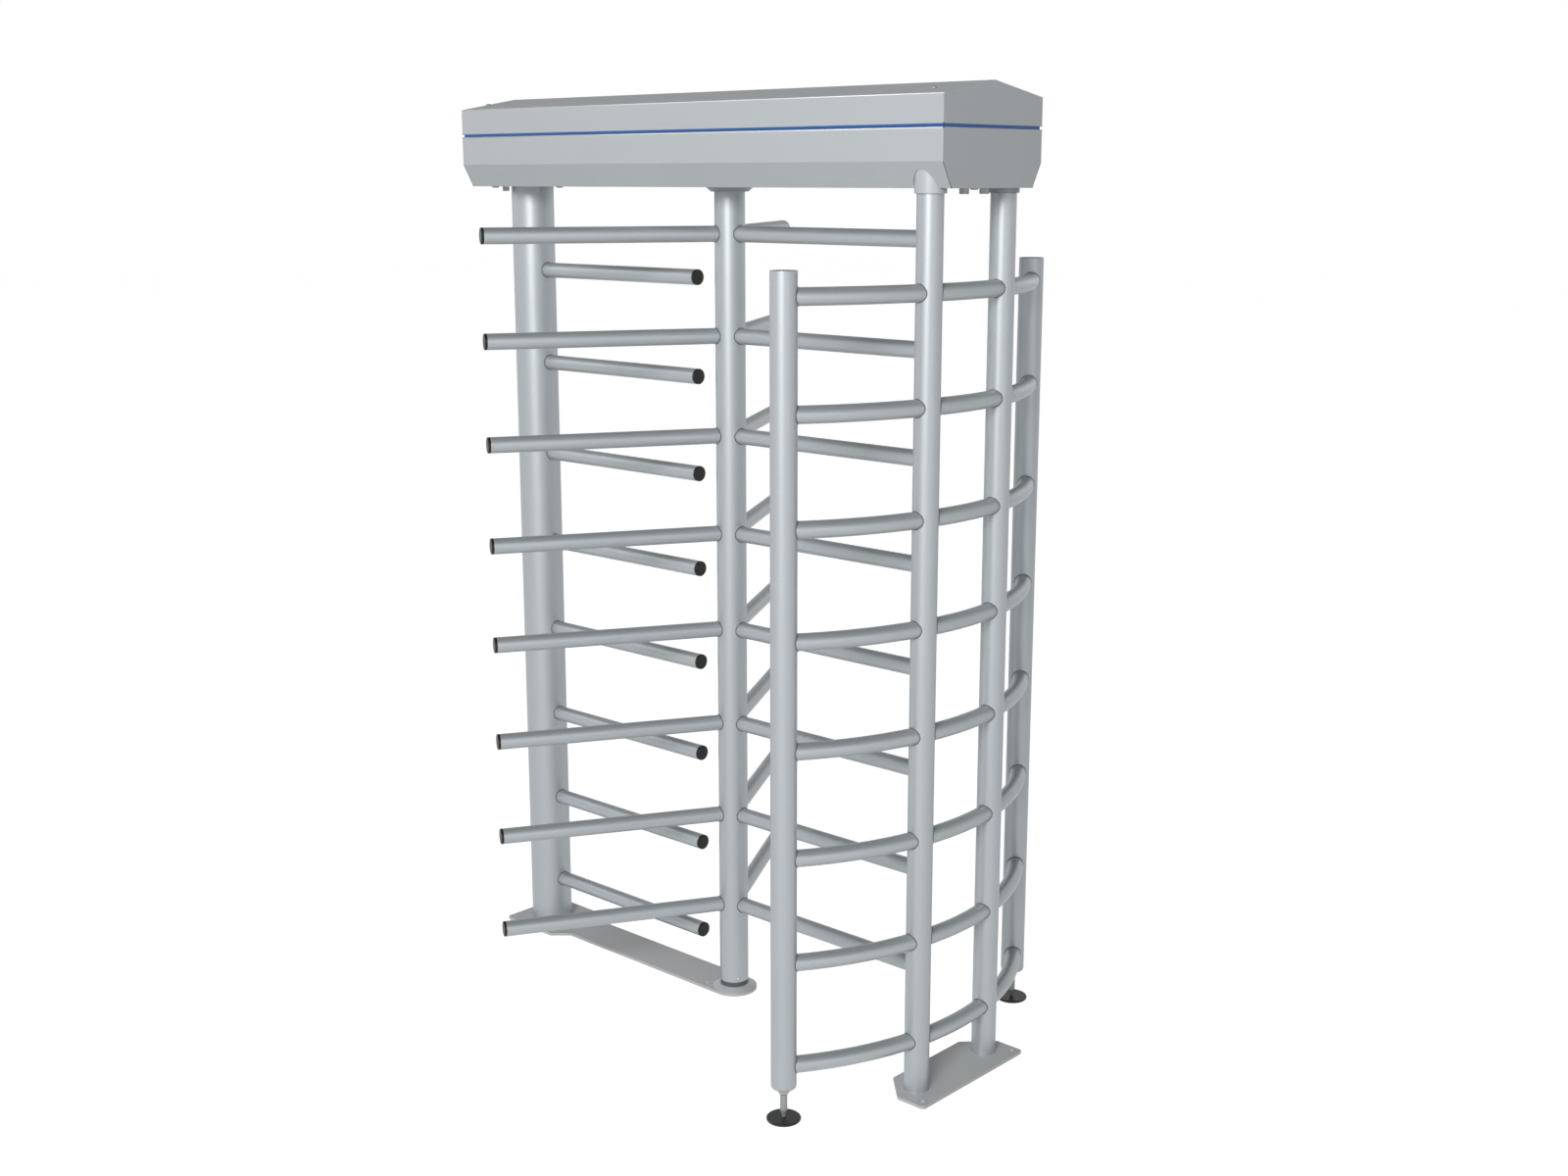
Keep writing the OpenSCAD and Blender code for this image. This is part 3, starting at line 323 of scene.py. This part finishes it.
def weld_beads(name, places, upright_r, body):
    """A fine bead round the foot of each arm. places: (x, y, z, heading)."""
    path = joint_path(upright_r + 0.0002, ARM_R + 0.0003)

    def make(bm):
        for x, y, z, heading in places:
            turn = Matrix.Translation((x, y, z)) @ Matrix.Rotation(heading, 4, "Z")
            loop_tube(bm, [turn @ p for p in path], WELD_R, 6)

    return new_piece(name, make, WELD, body)


def level(first, row):
    return first + row * ARM_PITCH


def make_welds():
    rows = range(ARM_ROWS)
    weld_beads("comb_welds", [(COLUMN_X, 0, level(COMB_LEVEL, i), 0) for i in rows], COLUMN_R,
               "frame")
    for letter, turn in (("a", 0), ("b", 120), ("c", 240)):
        weld_beads(f"wing_{letter}_welds",
                   [(0, 0, level(WING_LEVEL, i), math.radians(turn)) for i in rows],
                   ROTOR_R, "rotor")
    # A rung leaves its post square to the post's direction from the middle, bent in by its arc
    for field, low, high in (("front", -SHORT_ANGLE, -TALL_ANGLE),
                             ("middle", -TALL_ANGLE, TALL_ANGLE),
                             ("rear", TALL_ANGLE, SHORT_ANGLE)):
        lean = math.asin(POST_R / CAGE_R) / 2
        places = []
        for i in rows:
            z = level(COMB_LEVEL, i)
            for angle, way in ((low, 1), (high, -1)):
                heading = angle + way * (math.pi / 2 + lean)
                places.append((CAGE_R * math.cos(angle), CAGE_R * math.sin(angle), z, heading))
        weld_beads(f"{field}_rung_welds", places, POST_R, "frame")


def dome(bm, place, facing, radius, height, sides=20, rings=4):
    """A low round dome at place, looking along facing."""
    turn = Matrix.Translation(place) @ facing.to_track_quat("Z", "Y").to_matrix().to_4x4()
    loops = []
    for k in range(rings):
        a = math.pi / 2 * k / rings
        r, z = radius * math.cos(a), height * math.sin(a)
        loops.append([bm.verts.new(turn @ Vector((r * math.cos(t), r * math.sin(t), z)))
                      for t in (TAU * i / sides for i in range(sides))])
    for low, high in zip(loops, loops[1:]):
        for i in range(sides):
            bm.faces.new((low[i], low[(i + 1) % sides], high[(i + 1) % sides], high[i]))
    bm.faces.new(loops[-1])
    bm.faces.new(loops[0][::-1])


def socket(bm, place, facing, radius, depth):
    """A dark hexagon standing where a key's recess is: painted shade of the recess."""
    turn = Matrix.Translation(place) @ facing.to_track_quat("Z", "Y").to_matrix().to_4x4()
    loops = [[bm.verts.new(turn @ Vector((radius * math.cos(t), radius * math.sin(t), z)))
              for t in (TAU * i / 6 for i in range(6))] for z in (-depth, 0.0)]
    for i in range(6):
        bm.faces.new((loops[0][i], loops[0][(i + 1) % 6], loops[1][(i + 1) % 6], loops[1][i]))
    bm.faces.new(loops[1])
    bm.faces.new(loops[0][::-1])


def make_folds():
    """The rounded folds at the eaves and along the tray's top: beads whose rounding catches the
    light, in a near-white finish that adds a painted highlight.
    """
    eave_r, eave_in, eave_short = 0.0017, 0.0013, 0.001
    proud = 0.0003

    def eaves(bm):
        for s in (-1, 1):
            y, z = s * (HALF_W - eave_in), EAVE_Z - eave_in
            ends = [Vector((HOUSING_X[0] + eave_short, y, z)),
                    Vector((HOUSING_X[1] - eave_short, y, z))]
            loop_tube(bm, ends, eave_r, 10, closed=False)

    def tray(bm):
        arc = [math.radians(a) for a in range(0, 91, 15)]
        section = ([(FOLD_R + proud, a) for a in arc]
                   + [(FOLD_R - proud, a) for a in reversed(arc)])
        count, half = len(section), len(arc)
        for s in (-1, 1):
            ends = [[bm.verts.new((x, s * (HALF_W - FOLD_R + r * math.cos(a)),
                                   TRAY_TOP - FOLD_R + r * math.sin(a))) for r, a in section]
                    for x in (HOUSING_X[0] + FOLD_R, HOUSING_X[1] - FOLD_R)]
            for k in range(count):
                after = (k + 1) % count
                bm.faces.new((ends[0][k], ends[0][after], ends[1][after], ends[1][k]))
            for end in ends:
                for k in range(half - 1):
                    bm.faces.new((end[k], end[k + 1], end[count - 2 - k], end[count - 1 - k]))

    new_piece("eave_folds", eaves, FOLD_HIGHLIGHT, "frame")
    new_piece("tray_folds", tray, FOLD_HIGHLIGHT, "frame")


def make_seams():
    """Dark joints up the tray's ends; under each tall post's sleeve a dark ring, painted shadow of
    the gap there; at the corners dark domes, painted shade of relief holes.
    """
    seam_r, seam_in = 0.0007, 0.0003
    relief_r, relief_h, relief_up = 0.0022, 0.0008, 0.0012
    dot_r, dot_h, dot_in, dot_off = 0.0016, 0.0012, 0.0003, 0.0012
    ring_tube_r, ring_gap, ring_up = 0.0009, 0.0006, 0.0004
    strip_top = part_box("housing_cover")[0][2]

    def seams_and_shade_dots(bm):
        for x, way in zip(HOUSING_X, (1, -1)):
            for s in (-1, 1):
                top = Vector((x + way * seam_in, s * (HALF_W - seam_in), UNDER_Z + SLOPE_H))
                low = Vector((x + way * seam_in, s * (HALF_W - SLOPE_W), UNDER_Z + seam_in))
                loop_tube(bm, [top, low], seam_r, 8, closed=False)
                # Dark dome at the foot of the slope: painted shade of a relief hole.
                dome(bm, low + Vector((way * seam_in, 0, relief_up)), Vector((-way, 0, 0)),
                     relief_r, relief_h)
                # Dark domes above and below the strip at each corner: painted shade of the corner
                # reliefs.
                for z in (TRAY_TOP - dot_off, strip_top + dot_off):
                    corner = Vector((x + way * dot_in, s * (HALF_W - dot_in), z))
                    dome(bm, corner, Vector((-way, s, 0)), dot_r, dot_h)

    def rings(bm):
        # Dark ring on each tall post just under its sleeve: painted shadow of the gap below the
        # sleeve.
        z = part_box("post_sleeves")[0][2] + ring_up
        ring_r = POST_R + ring_gap
        for angle in (-TALL_ANGLE, TALL_ANGLE):
            x, y = CAGE_R * math.cos(angle), CAGE_R * math.sin(angle)
            loop_tube(bm, [Vector((x + ring_r * math.cos(t), y + ring_r * math.sin(t), z))
                           for t in (TAU * k / 40 for k in range(40))], ring_tube_r, 8)

    new_piece("end_seams_and_shade_dots", seams_and_shade_dots, SEAM_AND_SHADE, "frame")
    new_piece("sleeve_shadow_rings", rings, SEAM_AND_SHADE, "frame")


def make_screw_details():
    """The cover screws' sockets, dark hexagons of painted shade, and the grub screws' faces in the
    rotor tube, bright domes with a painted glint.
    """
    socket_r, socket_h, socket_proud = 0.0034, 0.001, 0.00004
    grub_r, grub_h = 0.0027, 0.0006

    def sockets(bm):
        for x in SCREW_X:
            for s in (-1, 1):
                facing = Vector((0, s * math.sin(ROOF_ANGLE), math.cos(ROOF_ANGLE)))
                foot = Vector((x, s * SCREW_Y, EAVE_Z + ROOF_RISE * (1 - SCREW_Y / HALF_W)))
                socket(bm, foot + facing * (SCREW_HEAD_H + socket_proud), facing, socket_r,
                       socket_h)

    def grubs(bm):
        for a in GRUB_ANGLES:
            out = Vector((math.cos(math.radians(a)), math.sin(math.radians(a)), 0))
            # Bright dome on the screw's face: painted glint.
            dome(bm, out * GRUB_FACE_R + Vector((0, 0, GRUB_Z)), out, grub_r, grub_h)

    new_piece("screw_sockets", sockets, SEAM_AND_SHADE, "frame")
    new_piece("grub_heads", grubs, GLINT_STEEL, "rotor")


# Camera, lamps and ground

def make_camera():
    data = bpy.data.cameras.new("view")
    data.sensor_width = 36.0
    data.lens = CAMERA_LENS
    data.clip_end = 100.0
    camera = bpy.data.objects.new("view", data)
    camera.location = CAMERA_PLACE
    camera.rotation_euler = (math.pi / 2 - CAMERA_TILT, 0, CAMERA_TURN)
    scene.collection.objects.link(camera)
    scene.camera = camera


def make_lamp(name, place, aim, width, height, power):
    data = bpy.data.lights.new(name, "AREA")
    data.shape = "RECTANGLE"
    data.size = width
    data.size_y = height
    data.energy = power
    lamp = bpy.data.objects.new(name, data)
    lamp.location = place
    lamp.rotation_euler = (Vector(aim) - Vector(place)).to_track_quat("-Z", "Y").to_euler()
    scene.collection.objects.link(lamp)


def seen_directly(tree):
    """1 for what the camera, a reflection or a see-through ray meets, and 0 for soft light."""
    path = tree.nodes.new("ShaderNodeLightPath")
    total = path.outputs["Is Camera Ray"]
    for name in ("Is Glossy Ray", "Is Transmission Ray"):
        add = tree.nodes.new("ShaderNodeMath")
        add.operation = "MAXIMUM"
        tree.links.new(total, add.inputs[0])
        tree.links.new(path.outputs[name], add.inputs[1])
        total = add.outputs[0]
    return total


def make_world():
    world = bpy.data.worlds.new("studio")
    world.use_nodes = True
    scene.world = world
    tree = world.node_tree
    background = tree.nodes["Background"]
    place = tree.nodes.new("ShaderNodeTexCoord")
    split = tree.nodes.new("ShaderNodeSeparateXYZ")
    tree.links.new(place.outputs["Generated"], split.inputs[0])
    ceiling = ramp(tree, split.outputs["Z"], [(0.20, (1.0, 1.0, 1.0)), (0.75, CEILING_SHADE)])
    seen = node(tree, "ShaderNodeLightPath").outputs["Is Camera Ray"]
    tree.links.new(mix_colour(tree, seen, ceiling, (1.0, 1.0, 1.0)), background.inputs["Color"])
    tree.links.new(map_range(tree, seen_directly(tree), WORLD_FILL, 1.0),
                   background.inputs["Strength"])


def make_floor():
    mesh = bpy.data.meshes.new("floor")
    bm = bmesh.new()
    bmesh.ops.create_grid(bm, x_segments=2, y_segments=2, size=FLOOR_HALF)
    bm.to_mesh(mesh)
    bm.free()
    floor = bpy.data.objects.new("floor", mesh)
    scene.collection.objects.link(floor)
    material, tree = new_material("floor_white")
    out = tree.nodes["Material Output"]
    tree.nodes.remove(tree.nodes["Principled BSDF"])
    matt = node(tree, "ShaderNodeBsdfDiffuse")
    matt.inputs["Color"].default_value = (FLOOR_SHADE, FLOOR_SHADE, FLOOR_SHADE, 1.0)
    glow = node(tree, "ShaderNodeEmission")
    tree.links.new(map_range(tree, seen_directly(tree), 0.0, FLOOR_GLOW), glow.inputs["Strength"])
    both = node(tree, "ShaderNodeAddShader")
    tree.links.new(matt.outputs[0], both.inputs[0])
    tree.links.new(glow.outputs[0], both.inputs[1])
    tree.links.new(both.outputs[0], out.inputs["Surface"])
    dress(floor, material)


WORLD_FILL = 0.34
CEILING_SHADE = (0.12, 0.12, 0.12)
FLOOR_SHADE = 0.30
FLOOR_HALF = 40.0
FLOOR_GLOW = 0.96
# Name, place, aim, width, height and watts
LAMPS = [
    ("key", (3.7, -7.6, 4.4), (0.0, 0.0, 1.5), 3.1, 1.9, 535),
    ("left", (-5.3, -2.6, 4.0), (0.0, 0.0, 1.2), 2.4, 2.0, 42),
    ("right", (6.0, -1.5, 1.9), (0.0, 0.0, 1.4), 1.4, 1.6, 14),
    ("back", (0.3, 7.0, 3.0), (0.0, 0.0, 1.5), 3.0, 2.0, 15),
]

scene.view_settings.view_transform = "Standard"
make_camera()
make_world()
make_floor()
for lamp in LAMPS:
    make_lamp(*lamp)
dress_nodes()
make_welds()
make_folds()
make_seams()
make_screw_details()
